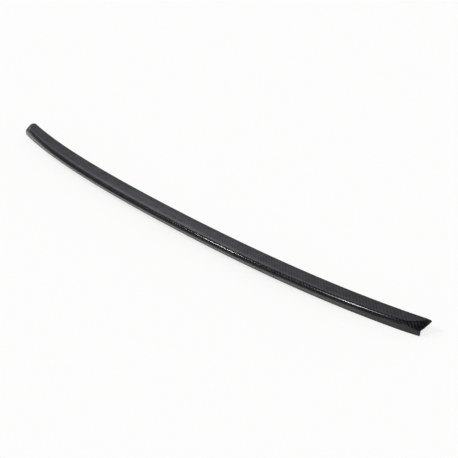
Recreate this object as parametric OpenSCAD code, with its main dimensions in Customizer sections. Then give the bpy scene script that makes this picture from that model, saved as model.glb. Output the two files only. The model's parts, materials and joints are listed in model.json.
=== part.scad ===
// Rear lip spoiler for a car boot lid: one moulded carbon fibre shell.
// The strip lies along X, its rear face looks to -Y, and it rests on its lower edge at Z 0.

/* [Strip] */
// Whole length from tip to tip
length = 1180; // [1000:10:1300]
// How far the front edge bows forwards from its middle to each tip
front_sweep = 43; // [34:0.5:52]
// Share of that bow that is an even curve, the rest gathers near the tips
even_bow = 0.35; // [0:0.05:0.6]
// Depth of the top face at mid length, front edge to ridge
depth_mid = 42.5; // [36:0.5:50]
// Depth of the top face at the tips
depth_tip = 23.5; // [20:0.5:28]

/* [Heights] */
// Height of the front edge at mid length
front_height_mid = 17.5; // [15:0.5:20]
// Height of the front edge at the tips
front_height_tip = 23; // [21:0.5:25]
// Height of the ridge at mid length
ridge_height_mid = 21.5; // [19:0.5:26]
// Height that the ridge line would reach at the tips without the end ramps
ridge_height_tip = 19.5; // [18:0.5:22]
// How deep the top face is dished between front edge and ridge
dish = 1; // [0.4:0.1:2]
// Gap under the lower edge at the tips
tip_gap = 1; // [0:0.1:2]
// Length over which that gap opens
tip_gap_length = 45; // [25:5:70]

/* [Rear face] */
// Rounding along the ridge
ridge_radius = 4; // [3.2:0.1:4.6]
// How far the shoulder below the ridge stands out behind it
shoulder_out = 1; // [0.4:0.1:2]
// Drop from ridge to shoulder as a share of the ridge height
shoulder_drop = 0.35; // [0.33:0.01:0.42]
// Rounding along the shoulder
shoulder_radius = 5; // [3.2:0.1:5.8]
// How far the lower edge is tucked in under the ridge at mid length
tuck_mid = 8.5; // [5:0.5:11]
// The same at the tips
tuck_tip = -1.5; // [-2.5:0.5:1]

/* [End ramps] */
// Length of the scooped ramp at each end, measured along the ridge
ramp_length = 46; // [36:1:56]
// Length of the ramp along the front edge
ramp_front = 7; // [5:0.5:12]
// How much lower the ridge is at the tip for the ramp
ramp_drop = 8; // [6:0.5:9]
// How much lower the front corner is for the ramp
front_drop = 1.3; // [0.5:0.1:2.5]
// How much further out the front corner reaches than the rear corner
tip_rake = 4.2; // [2:0.1:8]
// Rounding of the front corner at the left tip, which is trimmed by hand
left_corner = 8.5; // [1:0.5:10]
// The same at the right tip
right_corner = 1; // [1:0.5:9]

/* [Shell] */
// Thickness of the moulded skin
skin = 2.2; // [1.8:0.1:2.6]
// Thickness at the front edge
nose_skin = 1.4; // [1:0.1:1.8]
// Width over which the front edge thins down
nose_width = 9; // [6:0.5:14]

/* [Hidden] */

half = length / 2;
ramp_start = half - ramp_length;

// Samples around a section
top_steps = 12;
ridge_steps = 5;
shoulder_steps = 3;
face_steps = 2;
// Samples along the strip
middle_steps = 60;
ramp_steps = 12;
// Step over which the slope of the top face is measured
probe = 0.3;
// Straight piece left between the top face and the ridge rounding
straight = 0.6;
// Sections lower than this get smaller roundings
full_round_height = ridge_height_mid / 1.9;

function mix(a, b, t) = a + (b - a) * t;
function unit(v) = v / norm(v);
// Inward normal of a section line that runs rearwards over the top and down the back
function inward(d) = [d[1], -d[0]];
// Corner p between the directions a and b, moved inwards by t
function mitre(p, a, b, t) = p + (inward(a) + inward(b)) * t / (1 + a * b);

// Share of the way from mid length to the tip
function share(x) = min(1, abs(x) / half);
function front_y(x) = front_sweep * (even_bow * pow(share(x), 2) + (1 - even_bow) * pow(share(x), 4));
function front_z(x) = mix(front_height_mid, front_height_tip, 1 - pow(1 - pow(share(x), 2), 2.4));
function depth(x) = mix(depth_mid, depth_tip, pow(share(x), 2));
function full_ridge_z(x) = mix(ridge_height_mid, ridge_height_tip, pow(share(x), 5));
function local_dish(x) = dish * (1 - 0.6 * share(x));
function tuck(x) = mix(tuck_mid, tuck_tip, pow(share(x), 4));
function low_z(x) = tip_gap * pow(max(0, abs(x) - half + tip_gap_length) / tip_gap_length, 2);

// The ramp at a share w of the way from front edge to ridge: its length, most of it close to the
// ridge, and how far it has fallen
function ramp_reach(w) = mix(ramp_front, ramp_length, 0.3 * w + 0.7 * pow(w, 6));
function ramp_share(x, w) = max(0, 1 - (half - abs(x)) / ramp_reach(w));
function ramp_fall(x, w) = mix(front_drop, ramp_drop, w * w) * (1 - pow(1 - ramp_share(x, w), 1.5));

// Section coordinates: distance behind the front edge, and height
function top_z(x, v) = let (w = v / depth(x))
    mix(front_z(x), full_ridge_z(x), w) - 4 * local_dish(x) * w * (1 - w) - ramp_fall(x, w);
function top_way(x, v) = let (a = max(0, v - probe), b = min(depth(x), v + probe))
    unit([b - a, top_z(x, b) - top_z(x, a)]);
function thickness(v) = mix(nose_skin, skin, min(1, v / nose_width));
function turn(a, b) = acos(a * b);

// Arc of radius r in the corner b between a and c, with n steps
function corner_arc(a, b, c, r, n) =
    let (d1 = unit(b - a), d2 = unit(c - b),
         whole = turn(d1, d2),
         start = b - d1 * r * tan(whole / 2),
         centre = start + inward(d1) * r)
    [for (i = [0:n]) let (g = whole * i / n)
        centre - inward(d1) * r * cos(g) + d1 * r * sin(g)];

// Outer line of the section at x, or with inside set to 1 the inner line, one skin further in
function skin_line(x, inside) =
    let (ridge = [depth(x), top_z(x, depth(x))],
         h = ridge[1] - low_z(x),
         size = min(1, h / full_round_height),
         shoulder = [depth(x) + shoulder_out * h / ridge_height_mid, ridge[1] - shoulder_drop * h],
         low = [depth(x) - tuck(x), low_z(x)],
         d2 = unit(shoulder - ridge), d3 = unit(low - shoulder),
         fold = turn(top_way(x, depth(x) - 2), d2),
         edge_v = depth(x) - ridge_radius * size * tan(fold / 2) - straight,
         edge = [edge_v, top_z(x, edge_v)],
         d1 = unit(ridge - edge),
         wall = inside * skin,
         edge_in = mitre(edge, top_way(x, edge_v), d1, inside * thickness(edge_v)),
         ridge_in = mitre(ridge, d1, d2, wall),
         shoulder_in = mitre(shoulder, d2, d3, wall),
         low_in = low + [wall / d3[1], 0],
         ridge_arc = corner_arc(edge_in, ridge_in, shoulder_in,
             max(0.5, ridge_radius * size - wall), ridge_steps),
         shoulder_arc = corner_arc(ridge_in, shoulder_in, low_in,
             max(0.5, shoulder_radius * size - wall), shoulder_steps))
    concat(
        [[0, top_z(x, 0) - inside * nose_skin]],
        [for (i = [1:top_steps - 1]) let (v = edge_v * i / top_steps)
            mitre([v, top_z(x, v)], top_way(x, v), top_way(x, v), inside * thickness(v))],
        [edge_in],
        ridge_arc,
        shoulder_arc,
        [for (i = [1:face_steps]) mix(shoulder_arc[shoulder_steps], low_in, i / face_steps)]);

function section(x) = let (inner = skin_line(x, 1))
    concat(skin_line(x, 0), [for (i = [len(inner) - 1:-1:0]) inner[i]]);

// The end cut rounds the front corner and then leans, so that the front reaches further out
function corner(x) = x < 0 ? left_corner : right_corner;
function corner_cut(r, v) = v < r ? r - sqrt(r * r - (r - v) * (r - v)) : 0;
function lean_x(x, v) =
    let (r = corner(x),
         cut_share = max(0, 1 - (half - abs(x)) / (3 * r)),
         lean_share = max(0, 1 - (half - abs(x)) / (2 * ramp_length)),
         back = max(0, v - r) / (depth(x) - r))
    x - sign(x) * (pow(cut_share, 2) * corner_cut(r, v) + tip_rake * pow(lean_share * back, 2));
function plan_y(x, v) = front_y(lean_x(x, v)) - v;

rear_y = min([for (p = section(0)) -p[0]]);
front_most_y = max([for (p = skin_line(half, 0)) plan_y(half, p[0])]);
centre_y = (front_most_y + rear_y) / 2;

function placed(x) = [for (p = section(x)) [lean_x(x, p[0]), plan_y(x, p[0]) - centre_y, p[1]]];

stations = concat(
    [for (i = [0:ramp_steps - 1]) -half + ramp_length * i / ramp_steps],
    [for (i = [0:middle_steps]) ramp_start * (2 * i / middle_steps - 1)],
    [for (i = [1:ramp_steps]) ramp_start + ramp_length * i / ramp_steps]);

module lip_shell() {
    rings = [for (x = stations) placed(x)];
    n = len(rings[0]);
    m = len(rings);
    line = n / 2;
    points = [for (r = rings) for (p = r) p];
    skins = [for (j = [0:m - 2]) for (i = [0:n - 1])
        let (a = j * n + i, b = j * n + (i + 1) % n, c = a + n, d = b + n)
        each (2 * j < m - 1 ? [[a, d, b], [a, c, d]] : [[c, d, b], [c, b, a]])];
    first_end = [for (i = [0:line - 2])
        let (a = i, b = i + 1, c = n - 2 - i, d = n - 1 - i)
        each [[a, c, d], [a, b, c]]];
    last_end = [for (f = first_end) [for (k = [2, 1, 0]) f[k] + (m - 1) * n]];
    color([0.07, 0.07, 0.075])
        polyhedron(points = points, faces = concat(skins, first_end, last_end), convexity = 6);
}

lip_shell();
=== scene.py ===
import json
import math

import bmesh
import bpy
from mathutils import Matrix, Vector

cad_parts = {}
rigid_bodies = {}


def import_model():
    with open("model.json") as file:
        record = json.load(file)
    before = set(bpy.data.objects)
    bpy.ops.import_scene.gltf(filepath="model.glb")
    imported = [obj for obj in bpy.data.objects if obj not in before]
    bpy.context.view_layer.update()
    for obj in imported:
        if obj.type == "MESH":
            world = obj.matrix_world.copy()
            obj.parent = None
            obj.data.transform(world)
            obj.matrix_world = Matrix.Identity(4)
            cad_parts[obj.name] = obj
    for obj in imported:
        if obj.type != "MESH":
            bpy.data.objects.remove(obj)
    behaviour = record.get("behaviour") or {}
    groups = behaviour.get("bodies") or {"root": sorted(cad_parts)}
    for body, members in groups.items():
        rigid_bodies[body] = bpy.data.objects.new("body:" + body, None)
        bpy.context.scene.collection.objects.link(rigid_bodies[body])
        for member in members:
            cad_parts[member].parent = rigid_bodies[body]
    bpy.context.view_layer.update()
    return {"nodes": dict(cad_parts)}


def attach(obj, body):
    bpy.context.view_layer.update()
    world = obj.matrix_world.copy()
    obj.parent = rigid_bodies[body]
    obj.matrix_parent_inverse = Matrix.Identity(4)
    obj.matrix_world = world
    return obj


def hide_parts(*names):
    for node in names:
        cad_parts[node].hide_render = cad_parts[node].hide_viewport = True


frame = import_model()
print("frame loaded:", sorted(frame["nodes"]))


# shader maths as plain expressions on sockets

class Wire:
    def __init__(self, tree, socket):
        self.tree = tree
        self.socket = socket

    def maths(self, operation, *others):
        node = self.tree.nodes.new("ShaderNodeMath")
        node.operation = operation
        plug(self.tree, node.inputs[0], self)
        for i, other in enumerate(others):
            plug(self.tree, node.inputs[i + 1], other)
        return Wire(self.tree, node.outputs[0])

    def sibling(self, output):  # another output of the same node, by name or number
        return Wire(self.tree, self.socket.node.outputs[output])

    def __add__(self, other):
        return self.maths("ADD", other)

    def __radd__(self, other):
        return self.maths("ADD", other)

    def __sub__(self, other):
        return self.maths("SUBTRACT", other)

    def __rsub__(self, other):
        return self.maths("MULTIPLY", -1.0).maths("ADD", other)

    def __mul__(self, other):
        return self.maths("MULTIPLY", other)

    def __rmul__(self, other):
        return self.maths("MULTIPLY", other)

    def __truediv__(self, other):
        return self.maths("DIVIDE", other)

    def __lt__(self, other):
        return self.maths("LESS_THAN", other)


def plug(tree, socket, value):
    if isinstance(value, Wire):
        tree.links.new(value.socket, socket)
    else:
        socket.default_value = value


def addNode(tree, kind, settings=None, output=0, **sockets):
    # sockets go by name, or by number, as in _0
    node = tree.nodes.new(kind)
    for name, value in (settings or {}).items():
        setattr(node, name, value)
    for name, value in sockets.items():
        socket = int(name[1:]) if name[1:].isdigit() else name.replace("_", " ")
        plug(tree, node.inputs[socket], value)
    return Wire(tree, node.outputs[output])


def mixColours(tree, share, first, second, blend="MIX"):
    return addNode(tree, "ShaderNodeMix", {"data_type": "RGBA", "blend_type": blend}, 2,
                   _0=share, _6=first, _7=second)


def clothNoise(tree, cloth, cellsPerMetre, detail):
    return addNode(tree, "ShaderNodeTexNoise", {"noise_dimensions": "2D"}, 0,
                   Vector=cloth, Scale=cellsPerMetre, Detail=detail)


def around(noise, middle, depth):
    # noise that swings by half the depth to each side of the middle
    return noise * depth + (middle - depth / 2)


def newMaterial(name):
    material = bpy.data.materials.new(name)
    material.use_nodes = True
    return material, material.node_tree, material.node_tree.nodes["Principled BSDF"]


def deselectAll():
    if bpy.context.object and bpy.context.object.mode != "OBJECT":
        bpy.ops.object.mode_set(mode="OBJECT")
    bpy.ops.object.select_all(action="DESELECT")


def makeActive(piece):
    deselectAll()
    piece.select_set(True)
    bpy.context.view_layer.objects.active = piece


# camera, at the photograph's angle: from behind the strip, its right end nearer

cameraValues = {
    "azimuth": 48.75,
    "elevation": 26.36,
    "distance": 2.2,
    "target": (0.1041, 0.0318, 0.010),
    "lens": 91.12,
    "sensorWidth": 36,
    "clipping": (0.05, 60),
}


def directionTo(azimuth, elevation):
    a, e = math.radians(azimuth), math.radians(elevation)
    return Vector((math.sin(a) * math.cos(e), -math.cos(a) * math.cos(e), math.sin(e)))


def placeCamera(values):
    back = directionTo(values["azimuth"], values["elevation"])
    bpy.ops.object.camera_add(location=Vector(values["target"]) + back * values["distance"])
    camera = bpy.context.object
    camera.name = "photoCamera"
    camera.rotation_mode = "QUATERNION"
    camera.rotation_quaternion = (-back).to_track_quat("-Z", "Y")
    camera.data.lens = values["lens"]
    camera.data.sensor_width = values["sensorWidth"]
    camera.data.clip_start, camera.data.clip_end = values["clipping"]
    bpy.context.scene.camera = camera


deselectAll()
placeCamera(cameraValues)
bpy.context.scene.view_settings.view_transform = "Standard"
print("camera placed")


# carbon fibre shell, from a merged and smoothed copy of the CAD node

shellValues = {
    "mergeDistance": 0.00001,
    "middleReach": 0.0001,          # the middle section's corners are this close to mid length
    "ridgeBand": 0.008,             # the ridge is the highest point this close to the rear
    "shoulderHeight": 0.62,         # share of the ridge height at which the back stands out most
    "shoulderOut": 0.0013,          # how far the shoulder is drawn out
    "ridgeIn": 0.0007,              # how far the ridge is drawn in, so that the back leans
    "leanReach": (0.0286, 0.0066),  # distances from the rear where the lean starts and is whole
    "hollowDepth": 0.0004,          # how much the top face is hollowed in front of the ridge
    "hollowPlace": 0.72,            # where, as a share of the way from front edge to rear
    "hollowReach": 0.28,
    "hollowHeights": (0.5, 0.75),   # shares of the ridge height over which it fades in
    "edgeRound": 0.0002,            # rounding of the cut edges
    "edgeSegments": 2,
    "edgeAngle": 45,                # edges sharper than this are cut edges
    "smoothLevels": 2,
}


def ringOf(members):
    # corners once round a section, from the front edge rearwards over the outside
    def isRingEdge(edge):
        return any(vert not in members for face in edge.link_faces for vert in face.verts)

    # it starts at the upper one of the foremost corners, told apart to 0.01 mm
    ring = [max(members, key=lambda vert: (round(vert.co.y, 5), vert.co.z))]
    while len(ring) < len(members):
        onward = [edge.other_vert(ring[-1]) for edge in ring[-1].link_edges if isRingEdge(edge)]
        onward = [vert for vert in onward if vert in members and vert not in ring]
        ring.append(min(onward, key=lambda vert: vert.co.y))
    return ring


def sectionRings(shape, values):
    # the strip is a grid of sections, read off from mid length out to each tip
    middle = {vert for vert in shape.verts if abs(vert.co.x) < values["middleReach"]}
    rings = [ringOf(middle)]
    for side in (-1, 1):
        seen, members = set(middle), middle
        while members:
            members = {edge.other_vert(vert) for vert in members for edge in vert.link_edges}
            members = {vert for vert in members - seen if vert.co.x * side > 0}
            seen |= members
            if members and side < 0:
                rings.insert(0, ringOf(members))
            elif members:
                rings.append(ringOf(members))
    return rings


def fade(value, start, full):
    # rises smoothly from 0 at start to 1 at full
    share = min(1.0, max(0.0, (value - start) / (full - start)))
    return share * share * (3 - 2 * share)


def leanBack(rings, values):
    # draws the ridge in and the shoulder out, so that the upper back leans like the moulded one,
    # and hollows the top face in front of the ridge
    shoulder, shoulderOut = values["shoulderHeight"], values["shoulderOut"]
    for ring in rings:
        front = max(vert.co.y for vert in ring)
        rear = min(vert.co.y for vert in ring)
        ridge = max(vert.co.z for vert in ring if vert.co.y < rear + values["ridgeBand"])
        for vert in ring:
            height = vert.co.z / ridge
            nearBack = fade(vert.co.y - rear, *values["leanReach"])
            drawnIn = (shoulderOut + values["ridgeIn"]) * fade(height, shoulder, 1)
            drawnOut = shoulderOut * fade(height, 0, shoulder)
            offPlace = abs((front - vert.co.y) / (front - rear) - values["hollowPlace"])
            hollow = fade(offPlace, values["hollowReach"], 0)
            hollow *= fade(height, *values["hollowHeights"])
            vert.co.y += nearBack * (drawnIn - drawnOut)
            vert.co.z -= values["hollowDepth"] * hollow


def layCloth(mesh, values):
    # cuts the triangles back to a grid of quads, and maps the cloth on it in metres:
    # u runs along the strip and v round the section, from the front edge rearwards
    shape = bmesh.new()
    shape.from_mesh(mesh)
    rings = sectionRings(shape, values)
    size = len(rings[0])
    leanBack(rings, values)
    place = {vert: (j, i) for j, ring in enumerate(rings) for i, vert in enumerate(ring)}
    reach, wholeWay = {}, []
    for ring in rings:
        travelled = 0.0
        for vert, following in zip(ring, ring[1:] + ring[:1]):
            reach[vert] = travelled
            travelled += (following.co - vert.co).length
        wholeWay.append(travelled)
    diagonals = []
    for edge in shape.edges:
        (j1, i1), (j2, i2) = place[edge.verts[0]], place[edge.verts[1]]
        if (j1 != j2 and i1 != i2) or (j1 == j2 and i1 + i2 == size - 2):
            diagonals.append(edge)
    bmesh.ops.dissolve_edges(shape, edges=diagonals, use_verts=False)
    cloth = shape.loops.layers.uv.new("clothMap")
    for face in shape.faces:
        sections = {place[vert][0] for vert in face.verts}
        corners = {place[vert][1] for vert in face.verts}
        isCutEnd = len(sections) == 1
        onNose = not isCutEnd and {0, size - 1} <= corners
        isInner = not isCutEnd and min(corners) >= size // 2
        face.material_index = 1 if isInner else 0
        for loop in face.loops:
            j, i = place[loop.vert]
            travelled = wholeWay[j] if onNose and i == 0 else reach[loop.vert]
            loop[cloth].uv = (loop.vert.co.x, travelled)
    shape.to_mesh(mesh)
    shape.free()
    print("sections:", len(rings), "corners in each:", {len(ring) for ring in rings})


def buildShell(values):
    makeActive(frame["nodes"]["lip_shell"])
    bpy.ops.object.duplicate()
    shell = bpy.context.object
    shell.name = "carbonLipShell"
    shell.data.name = "carbonLipShell"
    bpy.ops.object.parent_clear(type="CLEAR_KEEP_TRANSFORM")
    for key in list(shell.keys()):  # the copy drops the CAD node's own marks
        del shell[key]
    bpy.ops.object.mode_set(mode="EDIT")
    bpy.ops.mesh.select_all(action="SELECT")
    bpy.ops.mesh.remove_doubles(threshold=values["mergeDistance"])
    bpy.ops.object.mode_set(mode="OBJECT")
    layCloth(shell.data, values)
    sides = [len(face.vertices) for face in shell.data.polygons]
    print("shell faces:", len(sides), "not quads:", len(sides) - sides.count(4))
    bevel = shell.modifiers.new("cutEdges", "BEVEL")
    bevel.limit_method = "ANGLE"
    bevel.angle_limit = math.radians(values["edgeAngle"])
    bevel.width = values["edgeRound"]
    bevel.segments = values["edgeSegments"]
    bpy.ops.object.modifier_apply(modifier="cutEdges")
    smooth = shell.modifiers.new("smoothForm", "SUBSURF")
    smooth.levels = smooth.render_levels = values["smoothLevels"]
    bpy.ops.object.modifier_apply(modifier="smoothForm")
    bpy.ops.object.shade_smooth()
    print("shell faces after smoothing:", len(shell.data.polygons))
    return shell


# gloss twill and matt underside

twillValues = {
    "towWidth": 0.0017,
    # warp and weft are the same fibre: the lighter weft colour is a painted sheen and the darker
    # warp colour painted shade, standing in for the fibres' directional reflection
    "warpShadedColour": (0.0075, 0.0075, 0.0090, 1),
    "weftSheenColour": (0.020, 0.020, 0.0242, 1),
    "fibreRoughness": 0.33,
    "fibreEdgeTint": (0.45, 0.45, 0.45, 1),  # keeps the fibres dark at a low angle
    "weaveHeight": 0.00004,
    "towEdgeShadeDepth": 0.3,          # painted shade: how much darker a tow is towards its edges, following its rounded crown
    "towWander": 0.0005,        # how far the tows stray from straight lines
    "wanderSize": 0.012,
    "toneCells": 260.0,         # fine change of tone within the tows, in cells to a metre
    "toneDepth": 0.7,
    "cloudSize": 0.022,         # size of the lighter and darker clouds in the cloth
    "cloudDepth": 1.2,
    "coatCloud": 0.34,          # how much the clouds and the weave show in the coat
    "coatWeave": 0.08,
    "coatRoughness": 0.1,
    "coatIor": 1.5,
}


def twillPattern(tree, tow, wander=0.0, wanderSize=0.01):
    # 2x2 twill: each tow passes over two and under two, one step further on in each row
    cloth = addNode(tree, "ShaderNodeUVMap", {"uv_map": "clothMap"})
    split = addNode(tree, "ShaderNodeSeparateXYZ", None, 0, _0=cloth)
    stray = clothNoise(tree, cloth, 1.0 / wanderSize, 1.0)
    stray = (stray - 0.5) * (2.0 * wander / tow)
    u = split / tow + stray
    v = split.sibling(1) / tow - stray
    column, row = u.maths("FLOOR"), v.maths("FLOOR")
    warpOnTop = (column - row).maths("FLOORED_MODULO", 4.0) < 1.5
    acrossWarp = (v - row - 0.5).maths("ABSOLUTE") * 2.0
    acrossWeft = (u - column - 0.5).maths("ABSOLUTE") * 2.0
    across = warpOnTop * acrossWarp + (1.0 - warpOnTop) * acrossWeft
    return cloth, warpOnTop, 1.0 - across * across


def makeGlossTwill(values):
    material, tree, shader = newMaterial("glossTwillCarbon")
    cloth, warpOnTop, crown = twillPattern(
        tree, values["towWidth"], values["towWander"], values["wanderSize"])
    tone = clothNoise(tree, cloth, values["toneCells"], 2.0)
    clouds = clothNoise(tree, cloth, 1.0 / values["cloudSize"], 3.0)
    toneAndTowEdgeShade = around(tone, 1.0, values["toneDepth"]) * around(clouds, 1.0, values["cloudDepth"])
    # random tone and clouds, times painted shade that darkens each tow towards its edges along
    # its crown
    toneAndTowEdgeShade = toneAndTowEdgeShade * (crown * values["towEdgeShadeDepth"] + (1.0 - values["towEdgeShadeDepth"]))
    # painted sheen on the weft and painted shade on the warp, mixed by which tow lies on top
    colour = mixColours(tree, warpOnTop, values["weftSheenColour"], values["warpShadedColour"])
    plug(tree, shader.inputs["Base Color"], mixColours(tree, 1.0, colour, toneAndTowEdgeShade, "MULTIPLY"))
    bump = addNode(tree, "ShaderNodeBump", None, 0,
                   Strength=1.0, Distance=values["weaveHeight"], Height=crown)
    plug(tree, shader.inputs["Normal"], bump)
    shader.inputs["Metallic"].default_value = 1.0
    shader.inputs["Roughness"].default_value = values["fibreRoughness"]
    shader.inputs["Specular Tint"].default_value = values["fibreEdgeTint"]
    coat = 1.0 - values["coatCloud"] * (1.0 - clouds) - values["coatWeave"] * warpOnTop
    plug(tree, shader.inputs["Coat Weight"], coat)
    shader.inputs["Coat Roughness"].default_value = values["coatRoughness"]
    shader.inputs["Coat IOR"].default_value = values["coatIor"]
    return material


undersideValues = {
    "towWidth": 0.0017,
    # warp and weft are the same fibre: the lighter weft colour is a painted sheen and the darker
    # warp colour painted shade
    "warpShadedColour": (0.016, 0.016, 0.017, 1),
    "weftSheenColour": (0.030, 0.030, 0.031, 1),
    "roughness": 0.6,
    "weaveHeight": 0.00008,
    "poolCells": 45.0,          # thicker and thinner resin, in cells to a metre
    "poolTone": 0.8,            # how much it changes the tone, the roughness and the height
    "poolRoughness": 0.3,
    "poolHeight": 2.0,
}


def makeUnderside(values):
    # inner side as it leaves the bag: dull resin with the weave still showing
    material, tree, shader = newMaterial("mattTwillUnderside")
    cloth, warpOnTop, crown = twillPattern(tree, values["towWidth"])
    pools = clothNoise(tree, cloth, values["poolCells"], 4.0)
    # painted sheen on the weft and painted shade on the warp, mixed by which tow lies on top
    colour = mixColours(tree, warpOnTop, values["weftSheenColour"], values["warpShadedColour"])
    tone = around(pools, 1.0, values["poolTone"])
    plug(tree, shader.inputs["Base Color"], mixColours(tree, 1.0, colour, tone, "MULTIPLY"))
    roughness = around(pools, values["roughness"], values["poolRoughness"])
    plug(tree, shader.inputs["Roughness"], roughness)
    bump = addNode(tree, "ShaderNodeBump", None, 0, Strength=1.0,
                   Distance=values["weaveHeight"], Height=crown + pools * values["poolHeight"])
    plug(tree, shader.inputs["Normal"], bump)
    return material


shell = buildShell(shellValues)
shell.data.materials.clear()
shell.data.materials.append(makeGlossTwill(twillValues))
shell.data.materials.append(makeUnderside(undersideValues))
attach(shell, "root")
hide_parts("lip_shell")
print("shell finished")


# studio: white floor, walls that are brighter on the far side, a ceiling that is bright only over
# the far left, a soft key past the strip's right end, and lamps behind the strip whose mirror
# images are the streaks along the ridge

studioValues = {
    "floorSize": 16.0,
    "floorColour": (0.955, 0.945, 0.92, 1),
    "floorRoughness": 0.9,
    "floorGlow": 0.67,          # share of the floor that is plain white whatever the shadow
    "floorGlowInGloss": 0.03,   # the same share in reflections
    "roomColour": (0.95, 0.965, 1, 1),
    "roomGlow": 0.98,           # the same two shares for the walls and the ceiling
    "roomGlowInGloss": 0.04,
    "farWall": 0.70,            # brightness of each part of the room
    "leftWall": 0.53,
    "leftEnd": 0.30,            # straight along the strip, past its left end
    "nearWall": 0.31,
    "horizonGain": 0.30,        # how much brighter the far and left walls are low down
    "farCeiling": 0.7,
    "nearCeiling": 0.05,
    # where each part starts and is whole, as x, y or z of the direction to it
    "farY": (-0.3, 0.0333),
    "leftWallX": (-0.55, -0.75),
    "leftEndX": (-0.825, -0.95),
    "horizonZ": (0.4, 0.2571),
    "ceilingZ": (0.50, 0.70),
    "farCeilingX": (-0.05, -0.30),
}

lampValues = [
    {"name": "softKey", "direction": (0.60, -0.30, 0.74), "angle": 40, "strength": 1.9},
    {"name": "leftStreak", "direction": (-0.632, -0.465, 0.602), "angle": 4, "strength": 0.32},
    {"name": "rightStreak", "direction": (-0.325, -0.66, 0.67), "angle": 4.5, "strength": 0.34},
    {"name": "rightGlow", "direction": (-0.33, -0.66, 0.67), "angle": 13, "strength": 0.46},
]


def whiteShare(tree, toTheEye, inGloss):
    # how much of a surface of the room is plain white
    rays = addNode(tree, "ShaderNodeLightPath")
    mirrored = rays.sibling("Is Glossy Ray").maths("MAXIMUM", rays.sibling("Is Transmission Ray"))
    return rays.sibling("Is Camera Ray") * toTheEye + mirrored * inGloss


def layFloor(values):
    deselectAll()
    bpy.ops.mesh.primitive_plane_add(size=values["floorSize"], location=(0, 0, 0))
    floor = bpy.context.object
    floor.name = "whiteFloor"
    material, tree, shader = newMaterial("whiteFloor")
    shader.inputs["Base Color"].default_value = values["floorColour"]
    shader.inputs["Roughness"].default_value = values["floorRoughness"]
    shader.inputs["Specular IOR Level"].default_value = 0.0
    share = whiteShare(tree, values["floorGlow"], values["floorGlowInGloss"])
    glow = addNode(tree, "ShaderNodeEmission", None, 0, Color=(1, 1, 1, 1), Strength=1.0)
    mixed = addNode(tree, "ShaderNodeMixShader", None, 0, _0=share,
                    _1=Wire(tree, shader.outputs[0]), _2=glow)
    tree.links.new(mixed.socket, tree.nodes["Material Output"].inputs["Surface"])
    floor.data.materials.append(material)


def ramp(wire, start, full):
    # rises evenly from 0 at start to 1 at full
    share = (wire - start) * (1.0 / (full - start))
    return share.maths("MAXIMUM", 0.0).maths("MINIMUM", 1.0)


def partWay(first, second, share):
    return share * (second - first) + first


def lightRoom(values):
    world = bpy.data.worlds.new("softStudio")
    world.use_nodes = True
    bpy.context.scene.world = world
    tree = world.node_tree
    direction = addNode(tree, "ShaderNodeTexCoord")
    x = addNode(tree, "ShaderNodeSeparateXYZ", None, 0, _0=direction)
    y, z = x.sibling(1), x.sibling(2)
    farSide = ramp(y, *values["farY"])
    wall = partWay(values["farWall"], values["leftWall"], ramp(x, *values["leftWallX"]))
    wall = wall * (ramp(z, *values["horizonZ"]) * values["horizonGain"] + 1.0)
    wall = partWay(wall, values["leftEnd"], ramp(x, *values["leftEndX"]))
    wall = partWay(values["nearWall"], wall, farSide)
    ceiling = partWay(values["nearCeiling"], values["farCeiling"],
                      farSide * ramp(x, *values["farCeilingX"]))
    room = partWay(wall, ceiling, ramp(z, *values["ceilingZ"]))
    white = whiteShare(tree, values["roomGlow"], values["roomGlowInGloss"])
    background = tree.nodes["Background"]
    colour = mixColours(tree, white, values["roomColour"], (1, 1, 1, 1))
    plug(tree, background.inputs["Color"], colour)
    plug(tree, background.inputs["Strength"], partWay(room, 1.0, white))


def addLamp(values):
    deselectAll()
    bpy.ops.object.light_add(type="SUN", location=(0, 0, 3))
    lamp = bpy.context.object
    lamp.name = values["name"]
    lamp.rotation_mode = "QUATERNION"
    lamp.rotation_quaternion = Vector(values["direction"]).to_track_quat("Z", "Y")
    lamp.data.angle = math.radians(values["angle"])
    lamp.data.energy = values["strength"]


layFloor(studioValues)
lightRoom(studioValues)
for values in lampValues:
    addLamp(values)
print("studio lit")
